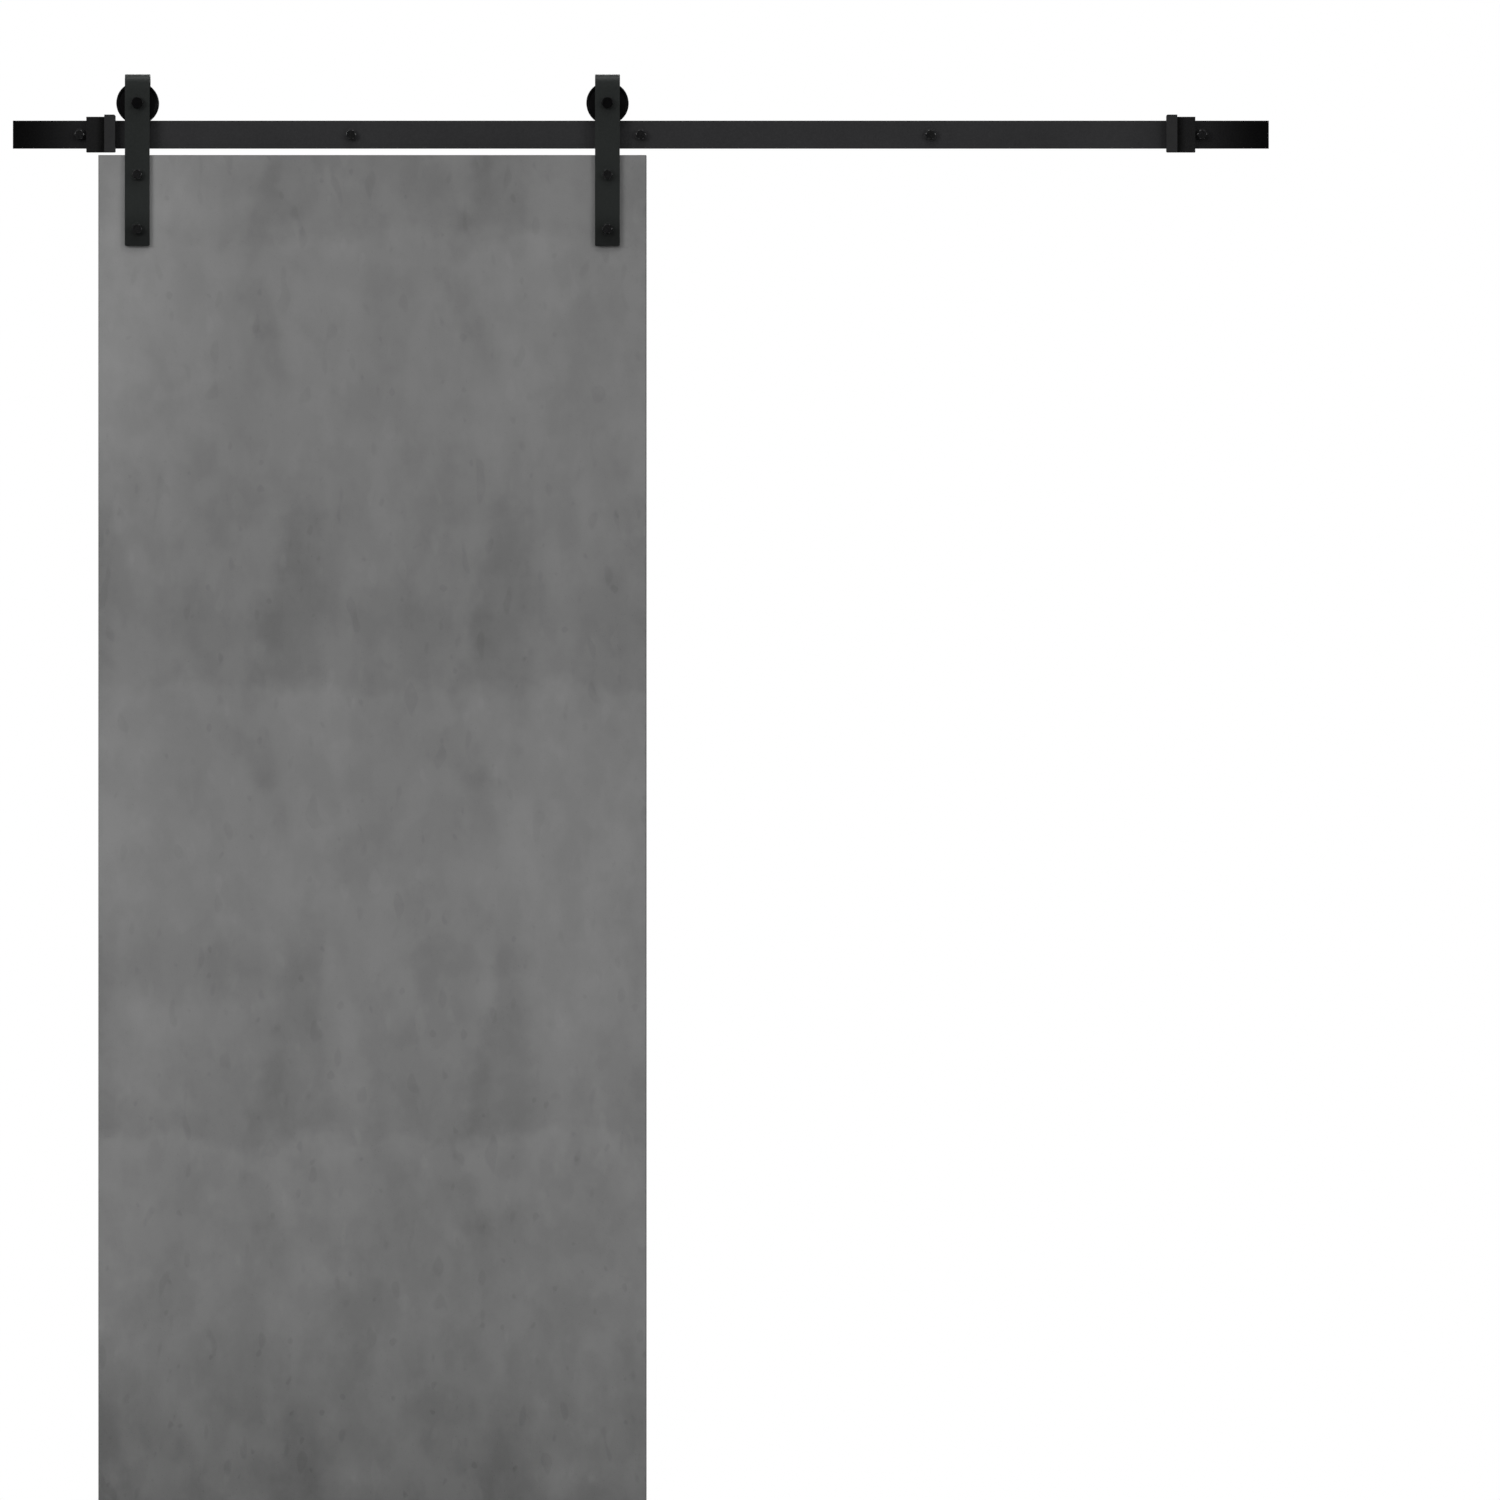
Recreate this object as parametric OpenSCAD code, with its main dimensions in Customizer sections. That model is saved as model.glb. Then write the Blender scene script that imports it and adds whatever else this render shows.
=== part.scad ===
// Single sliding barn door: a flush slab hung from two J-shaped straps, whose grooved wheels
// roll on a flat rail that stands off the wall on spacers.
//
// X runs along the rail, Z is up and -Y faces the room. The wall is the plane y = 0, and the
// origin lies on it, behind the rail's middle bolt. The slab stands near the left end of its
// travel.

/* [Slab] */
// Width of the slab
door_w = 864; // [700:1:1040]
// Height of the slab
door_h = 2133.6; // [1750:0.1:2560]
// Thickness of the slab
door_t = 40; // [33:0.5:50]
// Thickness of each face skin
skin_t = 4; // [3:0.5:6]
// Thickness of the banding round the edges
band_t = 1; // [0.5:0.1:2]
// Width of the wooden stiles inside the slab
stile_w = 110; // [90:1:150]
// Height of the wooden rails inside the slab
inner_rail_h = 100; // [60:1:200]
// Gap between the back of the slab and the wall
wall_gap = 10; // [6:0.5:20]
// Gap between the underside of the rail and the top of the slab
door_gap = 10.8; // [8:0.1:20]
// Free travel left between the left wheel and its bumper
rest_gap = 8.3; // [1:0.1:40]

/* [Rail] */
// Length of the rail
rail_len = 1981.2; // [1900:0.1:2400]
// Height of the flat bar
rail_h = 44; // [35:0.5:53]
// Thickness of the flat bar
rail_t = 6; // [5:0.5:8]
// Distance between the three bolts in the middle
bolt_pitch = 457.2; // [350:0.1:550]
// Distance from each end of the rail to its last bolt
end_bolt_inset = 105; // [60:1:120]
// Diameter of the spacers behind the rail
spacer_d = 20; // [17:0.5:26]
// Radial play of a bolt in its hole
hole_play = 0.5; // [0.2:0.1:1]

/* [Lag bolts] */
// Diameter of the shank
lag_d = 8; // [6:0.5:10]
// Length of the threaded end that goes into the wall
wall_grip = 45; // [30:1:70]
// Length of its point
point_len = 6; // [3:0.5:10]
// How far the threads are sunk below the shank's radius
thread_sink = 0.2; // [0.1:0.05:0.4]
// Length of thread that lies inside the spacer
thread_lead = 1; // [0.5:0.5:5]

/* [Hex heads and washers] */
// Width across flats of the bolt heads
head_af = 14; // [11:0.5:16]
// Height of the bolt heads
head_h = 5.5; // [4:0.5:6.5]
// Diameter of the washers
washer_d = 20; // [17:0.5:24]
// Thickness of the washers
washer_t = 1.5; // [1:0.1:2]

/* [Stops] */
// Length of each clamp along the rail
clamp_w = 28.5; // [20:0.5:40]
// Wall of the clamp round the rail
clamp_wall = 5.7; // [4.5:0.1:8]
// Length of each rubber bumper along the rail
bumper_w = 17; // [12:0.5:25]
// Height of the bumper above the rail
bumper_top = 9.2; // [6:0.1:12]
// Depth of the bumper in front of the rail
bumper_front = 9; // [6:0.1:12]
// Radius of the bumper's corners that meet the wheel
bumper_r = 2; // [1:0.1:4]
// Play of the clamp and bumper round the rail
slip = 0.15; // [0.05:0.05:0.3]
// Gap between the clamp and the washer or spacer of the rail's last bolt
clamp_bolt_gap = 1.1; // [0.5:0.1:5]
// Diameter of the grub screws
grub_d = 5; // [4:0.5:6]
// Diameter of the pegs that hold the bumper on its clamp
peg_d = 3.2; // [2:0.1:4]
// Length of the pegs
peg_len = 8; // [5:0.5:12]
// Height of the pegs above and below the middle of the rail
peg_z = 12; // [8:0.5:16]

/* [Hangers] */
// Width of the straps
strap_w = 39; // [32:0.5:47]
// Thickness of the straps
strap_t = 5; // [4:0.5:6]
// Inner radius of the two bends over the wheel
bend_r = 8; // [5:0.5:10]
// Distance from the slab's edge to the middle of a strap
hanger_inset = 61.4; // [50:0.1:75]
// Room between the top of the wheel and the strap
top_clear = 7.1; // [4:0.1:12]
// Room between a side of the wheel and the strap
side_clear = 2; // [1:0.1:4]
// Distance from the axle to the end of the rear leg
rear_tail = 18; // [13:0.5:22]
// Distance from the top of the slab to the first bolt
bolt_drop = 30.6; // [25:0.1:40]
// Distance between a strap's two bolts
hanger_pitch = 86; // [70:0.5:105]
// Distance from the last bolt to the end of the strap
strap_tail = 26.8; // [20:0.1:35]
// Radius of the corners at the end of the front leg
tail_r = 2; // [1:0.5:8]
// Radius of the corners at the end of the rear leg
rear_r = 9; // [2:0.5:12]
// Diameter of the bolts that hold a strap on the slab
hanger_d = 8; // [6:0.5:10]

/* [Sleeve nuts] */
// Outer diameter of the sleeve inside the slab
sleeve_d = 11; // [10:0.5:14]
// Length of the sleeve
sleeve_len = 16; // [12:0.5:20]
// Length of thread that the bolt has in the sleeve
bite = 12; // [8:0.5:14]
// Thickness of the flange behind the slab
flange_t = 2.5; // [2:0.1:3.5]
// Width across flats of the key socket
key_af = 6; // [4:0.5:6.5]
// Depth of the key socket
key_depth = 2; // [1:0.1:2.5]

/* [Wheels] */
// Width of the wheel
wheel_w = 22; // [18:0.5:27]
// Radius that rolls on the rail
tread_r = 27.4; // [22:0.1:33]
// Height of the flanges on both sides of the rail
groove_depth = 5.95; // [4.5:0.05:8]
// Play between the rail and each side of the groove
groove_play = 0.5; // [0.3:0.1:1]
// How far each side of the groove opens towards the rim
groove_flare = 1.2; // [0.5:0.1:2]
// Clearance between the tread and the rail
running_gap = 0.2; // [0.1:0.05:0.4]
// Depth of the recess in the side of the wheel
dish = 1.2; // [0.5:0.1:2]
// Width of the rim outside the recess
rim_w = 3.2; // [2:0.1:5]
// Radius of the hub inside the recess
hub_r = 17.6; // [17:0.1:19]
// Chamfer round the rim
rim_chamfer = 0.8; // [0.2:0.1:1.5]

/* [Axles] */
// Diameter of the axle bolt
axle_d = 10; // [8:0.5:11]
// Width across flats of its head and nut
axle_af = 17; // [15:0.5:19]
// Height of its head
axle_head_h = 6.4; // [5:0.1:7.5]
// Height of its nut
axle_nut_h = 8; // [6:0.5:9]
// Length of thread that stands out of the nut
axle_stick = 1; // [0:0.5:2]
// Wall of the spacer rings between strap and bearing
ring_wall = 2.5; // [1.5:0.1:2.6]

/* [Bearings] */
// Outer diameter of the bearing
bearing_d = 30; // [28:1:32]
// Width of the bearing
bearing_w = 9; // [8:0.5:12]
// Diameter of the balls
ball_d = 4.76; // [4:0.01:5]
// Number of balls
ball_count = 8; // [6:1:9]
// Clearance between the balls and their races
race_gap = 0.06; // [0.03:0.01:0.1]
// Space between the shoulders of the two rings
shoulder_gap = 2.8; // [2.4:0.1:3]
// Thickness of the cage
cage_wall = 1.4; // [1:0.1:1.8]
// Width of the cage
cage_w = 6.2; // [6:0.1:6.5]
// Thickness of the shields
shield_t = 0.6; // [0.4:0.1:0.8]
// Clearance between a shield and the inner ring
shield_gap = 0.3; // [0.2:0.05:0.4]

/* [Hidden] */
$fn = 64;
SLACK = 0.02; // radial play of a thread, or of a ring in its seat
EPS = 1;      // how far a cutter runs past the faces that it cuts

HEAD_CHAMFER = 30;              // angle of the chamfer on a hex head
HEAD_FLAT = 0.96;               // share of the flats' width left at the end of the head
WASHER_PLAY = 0.3;              // radial play of a washer on its bolt
BALL_PLAY = 0.12;               // radial play of a ball in its pocket
SHOULDER_R = 12.6;              // bore of the wheel in front of its bearing
GRUB_SPREAD = 0.25;             // place of a grub screw, as a share of the clamp's length
GRUB_KEY = 2.5;                 // width across flats of a grub screw's socket

// Depth of each layer, from the wall to the room
u_gap = wheel_w + 2 * side_clear;
spacer_len = wall_gap + door_t - u_gap / 2 - rail_t / 2;
rail_back = -spacer_len;
rail_mid = rail_back - rail_t / 2;
rail_front = rail_back - rail_t;
slab_front = rail_mid - u_gap / 2;
slab_back = slab_front + door_t;
strap_front = slab_front - strap_t;
rear_leg_front = rail_mid + u_gap / 2;
rear_leg_back = rear_leg_front + strap_t;
washer_front = rail_front - washer_t;
bearing_front = rail_mid - bearing_w / 2;
bearing_back = rail_mid + bearing_w / 2;

// Heights
rail_top = rail_h / 2;
axle_z = rail_top + running_gap + tread_r;
flange_r = tread_r + groove_depth;
strap_top = axle_z + flange_r + top_clear + strap_t;
slab_top = -rail_h / 2 - door_gap;
slab_bottom = slab_top - door_h;
hanger_bolt_z = [slab_top - bolt_drop, slab_top - bolt_drop - hanger_pitch];
strap_bottom = hanger_bolt_z[1] - strap_tail;
rear_leg_end = axle_z - rear_tail;

// Places along the rail
end_bolt_x = rail_len / 2 - end_bolt_inset;
rail_bolt_x = [-end_bolt_x, -bolt_pitch, 0, bolt_pitch, end_bolt_x];
clamp_outer_x = end_bolt_x - max(washer_d, spacer_d) / 2 - clamp_bolt_gap;
clamp_inner_x = clamp_outer_x - clamp_w;
bumper_face_x = clamp_inner_x - bumper_w;
bumper_top_z = rail_top + bumper_top;
// Distance from the bumper's face to the middle of a wheel that touches its top corner
stop_reach = sqrt(pow(flange_r + bumper_r, 2) - pow(axle_z - bumper_top_z + bumper_r, 2)) - bumper_r;
left_wheel_x = tenth(-bumper_face_x + stop_reach + rest_gap);
door_x = left_wheel_x + door_w / 2 - hanger_inset;
slab_left = door_x - door_w / 2;

// Inside the slab
panel_w = door_w - 2 * band_t;
panel_h = door_h - 2 * band_t;
frame_t = door_t - 2 * skin_t;
opening_w = panel_w - 2 * stile_w;

// Bearing radii
bore_r = axle_d / 2;
outer_r = bearing_d / 2;
pitch_r = (bore_r + outer_r) / 2;
inner_shoulder_r = pitch_r - shoulder_gap / 2;
outer_shoulder_r = pitch_r + shoulder_gap / 2;
shield_r = outer_shoulder_r + shield_t;
seat_r = outer_r + SLACK;

SIDES = [-1, 1];
PAIRED_PARTS = [
    "stop_clamp", "stop_bumper", "stile", "edge_band", "strap", "axle", "axle_nut", "axle_rings",
    "bearing_inner", "bearing_outer", "bearing_shields", "bearing_cage", "bearing_balls", "wheel"
];

function sided(side, part) = str(side < 0 ? "left_" : "right_", part);
function hanger_x(side) = door_x + side * (door_w / 2 - hanger_inset);
function hex_r(af) = af / 2 / cos(30);
function tenth(x) = round(10 * x) / 10;

// Draws its children with their +Z turned to the room
module facing_room(x, y, z) {
    translate([x, y, z]) rotate([90, 0, 0]) children();
}

// Draws its children with their +Z turned to the wall
module facing_wall(x, y, z) {
    translate([x, y, z]) rotate([-90, 0, 0]) children();
}

// Extrudes an outline of depth (Y) and height (Z) along X, from x0 to x1
module along_rail(x0, x1) {
    translate([x0, 0, 0]) rotate([90, 0, 90]) linear_extrude(x1 - x0) children();
}

// A rod or a bore along Y, from y0 to y1
module rod_y(x, z, y0, y1, r) {
    facing_wall(x, y0, z) cylinder(h = y1 - y0, r = r);
}

// A box between two corners
module block(low, high) {
    translate(low) cube(high - low);
}

module ring(outer, inner, h) {
    difference() {
        cylinder(h = h, r = outer);
        translate([0, 0, -EPS]) cylinder(h = h + 2 * EPS, r = inner);
    }
}

// Hexagonal head with its top corners turned off
module hex_head(af, h) {
    end_r = HEAD_FLAT * af / 2;
    intersection() {
        cylinder(h = h, r = hex_r(af), $fn = 6);
        cylinder(h = h, r1 = end_r + h / tan(HEAD_CHAMFER), r2 = end_r);
    }
}

// What is cut off a plate along Y to round the corner at the origin, with the plate at +X, +Z
module corner_waste(r, y0, y1) {
    translate([0, y1, 0]) rotate([90, 0, 0]) linear_extrude(y1 - y0) difference() {
        translate([-EPS, -EPS]) square(r + EPS);
        translate([r, r]) circle(r);
    }
}

// ---- Rail ----

module rail() {
    color("#303133") difference() {
        block([-rail_len / 2, rail_front, -rail_h / 2], [rail_len / 2, rail_back, rail_top]);
        for (x = rail_bolt_x)
            rod_y(x, 0, rail_front - EPS, rail_back + EPS, lag_d / 2 + hole_play);
    }
}

module rail_spacer(x) {
    color("#2b2c2e") facing_room(x, 0, 0)
        ring(spacer_d / 2, lag_d / 2 + hole_play, spacer_len);
}

module rail_washers() {
    color("#2b2c2e") for (x = rail_bolt_x)
        facing_room(x, rail_front, 0) ring(washer_d / 2, lag_d / 2 + WASHER_PLAY, washer_t);
}

// Lag bolt: the head, a plain shank, the threaded end and its point
module lag_bolt(x) {
    thread_r = lag_d / 2 - thread_sink;
    facing_room(x, washer_front, 0) hex_head(head_af, head_h);
    rod_y(x, 0, washer_front, -thread_lead, lag_d / 2);
    rod_y(x, 0, -thread_lead, wall_grip, thread_r);
    facing_wall(x, wall_grip, 0) cylinder(h = point_len, r1 = thread_r, r2 = thread_r / 4);
}

module rail_bolts() {
    color("#232426") for (x = rail_bolt_x) lag_bolt(x);
}

// ---- End stops: a steel clamp and a rubber bumper, each a collar round the rail ----

// The hole in a collar, from the clamp's outer end to the bumper's face
module rail_slot() {
    block([bumper_face_x - EPS, rail_front - slip, -rail_top - slip],
          [clamp_outer_x + EPS, rail_back + slip, rail_top + slip]);
}

// The pegs that tie the bumper to the clamp, in the middle of their front walls
module pegs(r, length) {
    for (z = [-peg_z, peg_z])
        translate([clamp_inner_x - EPS, rail_front - slip - clamp_wall / 2, z])
            rotate([0, 90, 0]) cylinder(h = length + EPS, r = r);
}

module grub_places() {
    for (k = [-1, 1])
        translate([clamp_inner_x + clamp_w * (0.5 + k * GRUB_SPREAD), rail_mid,
                   -rail_top - slip - clamp_wall]) children();
}

module clamp_body() {
    wall = slip + clamp_wall;
    difference() {
        block([clamp_inner_x, rail_front - wall, -rail_top - wall],
              [clamp_outer_x, rail_back + wall, rail_top + wall]);
        rail_slot();
        pegs(peg_d / 2 + SLACK, peg_len + EPS);
        grub_places() translate([0, 0, -EPS]) cylinder(h = wall + 2 * EPS, r = grub_d / 2 + SLACK);
    }
}

module bumper_body() {
    wall = slip + clamp_wall;
    y0 = rail_front - bumper_front;
    y1 = rail_back + wall;
    difference() {
        block([bumper_face_x, y0, -rail_top - wall], [clamp_inner_x, y1, bumper_top_z]);
        rail_slot();
        translate([bumper_face_x, 0, -rail_top - wall]) corner_waste(bumper_r, y0 - EPS, y1 + EPS);
        translate([bumper_face_x, 0, bumper_top_z]) mirror([0, 0, 1])
            corner_waste(bumper_r, y0 - EPS, y1 + EPS);
    }
    pegs(peg_d / 2, peg_len);
}

// The bodies above are drawn for the right end of the rail, and mirrored for the left
module at_end(side) {
    mirror([side < 0 ? 1 : 0, 0, 0]) children();
}

module stop_clamp(side) {
    color("#26272a") at_end(side) clamp_body();
}

module stop_bumper(side) {
    color("#3a3b3d") at_end(side) bumper_body();
}

module stop_screws() {
    length = clamp_wall + slip;
    color("#1d1e20") for (side = SIDES) at_end(side) grub_places() difference() {
        cylinder(h = length, r = grub_d / 2);
        translate([0, 0, -EPS]) cylinder(h = length / 2 + EPS, r = hex_r(GRUB_KEY), $fn = 6);
    }
}

// ---- Slab ----

// The holes that the hanger bolts and their sleeve nuts need through the slab
module hanger_holes() {
    for (side = SIDES, z = hanger_bolt_z) {
        rod_y(hanger_x(side), z, slab_front - EPS, slab_back, hanger_d / 2 + hole_play);
        rod_y(hanger_x(side), z, slab_back - sleeve_len, slab_back + EPS,
              sleeve_d / 2 + hole_play / 2);
    }
}

// A layer of the slab: a panel from y0 to y1, drilled for the hangers
module panel(y0, y1) {
    difference() {
        block([slab_left + band_t, y0, slab_bottom + band_t],
              [slab_left + band_t + panel_w, y1, slab_top - band_t]);
        hanger_holes();
    }
}

module front_skin() {
    color("#747574") panel(slab_front, slab_front + skin_t);
}

module back_skin() {
    color("#6f706f") panel(slab_back - skin_t, slab_back);
}

module stile(side) {
    x = door_x + side * (panel_w / 2 - stile_w / 2);
    color("#c9a877") difference() {
        block([x - stile_w / 2, slab_front + skin_t, slab_bottom + band_t],
              [x + stile_w / 2, slab_back - skin_t, slab_top - band_t]);
        hanger_holes();
    }
}

// What lies between the stiles, from z0 to z1
module infill(z0, z1) {
    block([door_x - opening_w / 2, slab_front + skin_t, z0],
          [door_x + opening_w / 2, slab_back - skin_t, z1]);
}

module top_frame_rail() {
    color("#c9a877") infill(slab_top - band_t - inner_rail_h, slab_top - band_t);
}

module bottom_frame_rail() {
    color("#c9a877") infill(slab_bottom + band_t, slab_bottom + band_t + inner_rail_h);
}

module honeycomb_core() {
    color("#b8925a")
        infill(slab_bottom + band_t + inner_rail_h, slab_top - band_t - inner_rail_h);
}

module edge_band(side) {
    x = door_x + side * (door_w - band_t) / 2;
    color("#6a6b6a") block([x - band_t / 2, slab_front, slab_bottom],
                           [x + band_t / 2, slab_back, slab_top]);
}

module cross_band(z0) {
    color("#6a6b6a") block([slab_left + band_t, slab_front, z0],
                           [slab_left + band_t + panel_w, slab_back, z0 + band_t]);
}

// ---- Hangers ----

// Outline from depth y0 to y1 and height z0 to z1, with its two top corners rounded
module arch(y0, y1, z0, z1, r) {
    translate([y0, z0]) square([y1 - y0, z1 - r - z0]);
    translate([y0 + r, z0]) square([y1 - y0 - 2 * r, z1 - z0]);
    for (y = [y0 + r, y1 - r]) translate([y, z1 - r]) circle(r);
}

// Side view of the strap: front leg, two bends over the wheel, short rear leg
module strap_outline() {
    difference() {
        arch(strap_front, rear_leg_back, strap_bottom, strap_top, bend_r + strap_t);
        arch(slab_front, rear_leg_front, strap_bottom - EPS, strap_top - strap_t, bend_r);
        translate([rear_leg_front - EPS, strap_bottom - EPS])
            square([strap_t + 2 * EPS, rear_leg_end - strap_bottom + EPS]);
    }
}

// The two lower corners of a leg, cut round
module rounded_end(z, r, y0, y1) {
    for (flip = [0, 1]) mirror([flip, 0, 0])
        translate([-strap_w / 2, 0, z]) corner_waste(r, y0 - EPS, y1 + EPS);
}

module strap(side) {
    color("#26282a") translate([hanger_x(side), 0, 0]) difference() {
        along_rail(-strap_w / 2, strap_w / 2) strap_outline();
        rounded_end(strap_bottom, tail_r, strap_front, slab_front);
        rounded_end(rear_leg_end, rear_r, rear_leg_front, rear_leg_back);
        rod_y(0, axle_z, strap_front - EPS, rear_leg_back + EPS, axle_d / 2 + SLACK);
        for (z = hanger_bolt_z)
            rod_y(0, z, strap_front - EPS, slab_front + EPS, hanger_d / 2 + hole_play);
    }
}

module hanger_washers() {
    color("#1f2022") for (side = SIDES, z = hanger_bolt_z)
        facing_room(hanger_x(side), strap_front, z)
            ring(washer_d / 2, hanger_d / 2 + WASHER_PLAY, washer_t);
}

module hanger_bolts() {
    head_y = strap_front - washer_t;
    color("#232426") for (side = SIDES, z = hanger_bolt_z) {
        facing_room(hanger_x(side), head_y, z) hex_head(head_af, head_h);
        rod_y(hanger_x(side), z, head_y, slab_back - sleeve_len + bite, hanger_d / 2);
    }
}

// Sleeve nut pushed into the slab from behind, with a flat flange and a key socket
module sleeve_nut() {
    difference() {
        union() {
            cylinder(h = sleeve_len, r = sleeve_d / 2);
            translate([0, 0, sleeve_len]) cylinder(h = flange_t, r = washer_d / 2);
        }
        translate([0, 0, -EPS]) cylinder(h = bite + 2 * EPS, r = hanger_d / 2 + SLACK);
        translate([0, 0, sleeve_len + flange_t - key_depth])
            cylinder(h = key_depth + EPS, r = hex_r(key_af), $fn = 6);
    }
}

module hanger_nuts() {
    color("#8d9094") for (side = SIDES, z = hanger_bolt_z)
        facing_wall(hanger_x(side), slab_back - sleeve_len, z) sleeve_nut();
}

// ---- Axles ----

module axle(side) {
    color("#1f2022") {
        facing_room(hanger_x(side), strap_front, axle_z) hex_head(axle_af, axle_head_h);
        rod_y(hanger_x(side), axle_z, strap_front, rear_leg_back + axle_nut_h + axle_stick,
              axle_d / 2);
    }
}

module axle_nut(side) {
    color("#1f2022") difference() {
        facing_wall(hanger_x(side), rear_leg_back, axle_z) hex_head(axle_af, axle_nut_h);
        rod_y(hanger_x(side), axle_z, rear_leg_back - EPS, rear_leg_back + axle_nut_h + EPS,
              axle_d / 2 + SLACK);
    }
}

// The two rings that centre the bearing between the legs of the strap
module axle_rings(side) {
    length = (u_gap - bearing_w) / 2;
    color("#9a9da1") for (y = [slab_front, bearing_back])
        facing_wall(hanger_x(side), y, axle_z)
            ring(axle_d / 2 + SLACK + ring_wall, axle_d / 2 + SLACK, length);
}

// ---- Wheels and bearings, drawn round the origin with their axis along Z ----

module at_axle(side) {
    facing_wall(hanger_x(side), rail_mid, axle_z) children();
}

// Half section of the wheel's outer form: hub, recess, rim and the groove for the rail
module wheel_section() {
    w = wheel_w / 2;
    root = rail_t / 2 + groove_play;
    rim_in = flange_r - rim_w;
    polygon([
        [0, -w], [hub_r, -w], [hub_r + dish, dish - w], [rim_in - dish, dish - w], [rim_in, -w],
        [flange_r - rim_chamfer, -w], [flange_r, rim_chamfer - w],
        [flange_r, -root - groove_flare], [tread_r, -root],
        [tread_r, root], [flange_r, root + groove_flare],
        [flange_r, w - rim_chamfer], [flange_r - rim_chamfer, w],
        [rim_in, w], [rim_in - dish, w - dish], [hub_r + dish, w - dish], [hub_r, w], [0, w]
    ]);
}

module wheel(side) {
    color("#0d0e0f") at_axle(side) difference() {
        rotate_extrude($fn = 128) wheel_section();
        translate([0, 0, -wheel_w / 2 - EPS]) cylinder(h = wheel_w + 2 * EPS, r = SHOULDER_R);
        translate([0, 0, -bearing_w / 2]) cylinder(h = wheel_w, r = seat_r);
    }
}

// Half section of a bearing ring, with the race of the balls cut into it
module race_section(r0, r1) {
    difference() {
        translate([r0, -bearing_w / 2]) square([r1 - r0, bearing_w]);
        translate([pitch_r, 0]) circle(ball_d / 2 + race_gap);
    }
}

module bearing_inner(side) {
    color("#b4b7ba") at_axle(side)
        rotate_extrude() race_section(bore_r + SLACK, inner_shoulder_r);
}

module bearing_outer(side) {
    color("#b4b7ba") at_axle(side) difference() {
        rotate_extrude() race_section(outer_shoulder_r, outer_r);
        for (end = [-1, 1]) translate([0, 0, end * (bearing_w / 2 - shield_t / 2)])
            cylinder(h = shield_t * 2, r = shield_r + SLACK, center = true);
    }
}

module bearing_shields(side) {
    inner = inner_shoulder_r + shield_gap;
    color("#85888c") at_axle(side) for (z = [-bearing_w / 2, bearing_w / 2 - shield_t])
        translate([0, 0, z]) ring(shield_r, inner, shield_t);
}

// Places its children on the pitch circle, with their X outwards
module round_balls() {
    for (i = [0 : ball_count - 1]) rotate([0, 0, i * 360 / ball_count])
        translate([pitch_r, 0, 0]) children();
}

module bearing_balls(side) {
    color("#c6c9cc") at_axle(side) round_balls() sphere(ball_d / 2);
}

module bearing_cage(side) {
    color("#3c3a35") at_axle(side) difference() {
        translate([0, 0, -cage_w / 2])
            ring(pitch_r + cage_wall / 2, pitch_r - cage_wall / 2, cage_w);
        round_balls() rotate([0, 90, 0])
            cylinder(h = 2 * cage_wall, r = ball_d / 2 + BALL_PLAY, center = true);
    }
}

rail();
rail_bolts();
rail_washers();
for (i = [1 : len(rail_bolt_x)])
    rail_spacer(rail_bolt_x[i - 1]);
stop_screws();
front_skin();
back_skin();
top_frame_rail();
bottom_frame_rail();
honeycomb_core();
cross_band(slab_top - band_t);  // top_edge_band
cross_band(slab_bottom);  // bottom_edge_band
hanger_bolts();
hanger_washers();
hanger_nuts();
for (side = SIDES) {
    stop_clamp(side);
    stop_bumper(side);
    stile(side);
    edge_band(side);
    strap(side);
    axle(side);
    axle_nut(side);
    axle_rings(side);
    bearing_inner(side);
    bearing_outer(side);
    bearing_shields(side);
    bearing_cage(side);
    bearing_balls(side);
    wheel(side);
}
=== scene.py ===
import math

import bmesh
import bpy
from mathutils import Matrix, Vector


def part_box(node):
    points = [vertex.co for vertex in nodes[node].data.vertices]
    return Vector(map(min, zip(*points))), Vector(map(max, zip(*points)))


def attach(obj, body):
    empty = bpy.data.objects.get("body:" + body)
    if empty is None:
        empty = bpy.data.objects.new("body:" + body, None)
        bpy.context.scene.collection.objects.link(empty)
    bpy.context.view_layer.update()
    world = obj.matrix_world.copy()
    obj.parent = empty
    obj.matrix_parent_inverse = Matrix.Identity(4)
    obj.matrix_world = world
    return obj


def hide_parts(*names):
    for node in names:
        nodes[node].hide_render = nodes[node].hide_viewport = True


# Looks of a single sliding barn door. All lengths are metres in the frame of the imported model:
# X runs along the rail, Z is up, -Y faces the room and the wall is the plane y = 0.

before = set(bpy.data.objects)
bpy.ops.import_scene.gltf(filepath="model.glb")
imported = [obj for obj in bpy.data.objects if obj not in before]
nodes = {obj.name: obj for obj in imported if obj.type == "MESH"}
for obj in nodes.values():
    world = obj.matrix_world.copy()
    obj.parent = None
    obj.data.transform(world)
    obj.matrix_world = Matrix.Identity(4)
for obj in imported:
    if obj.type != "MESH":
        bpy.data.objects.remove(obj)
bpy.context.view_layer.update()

SIDES = ("left", "right")
TURN = 2 * math.pi           # a full turn, in radians

slab_low, slab_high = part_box("front_skin")
strap_low, strap_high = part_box("left_strap")
rail_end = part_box("rail")[1].x
clamp_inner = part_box("right_stop_clamp")[0].x

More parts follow.
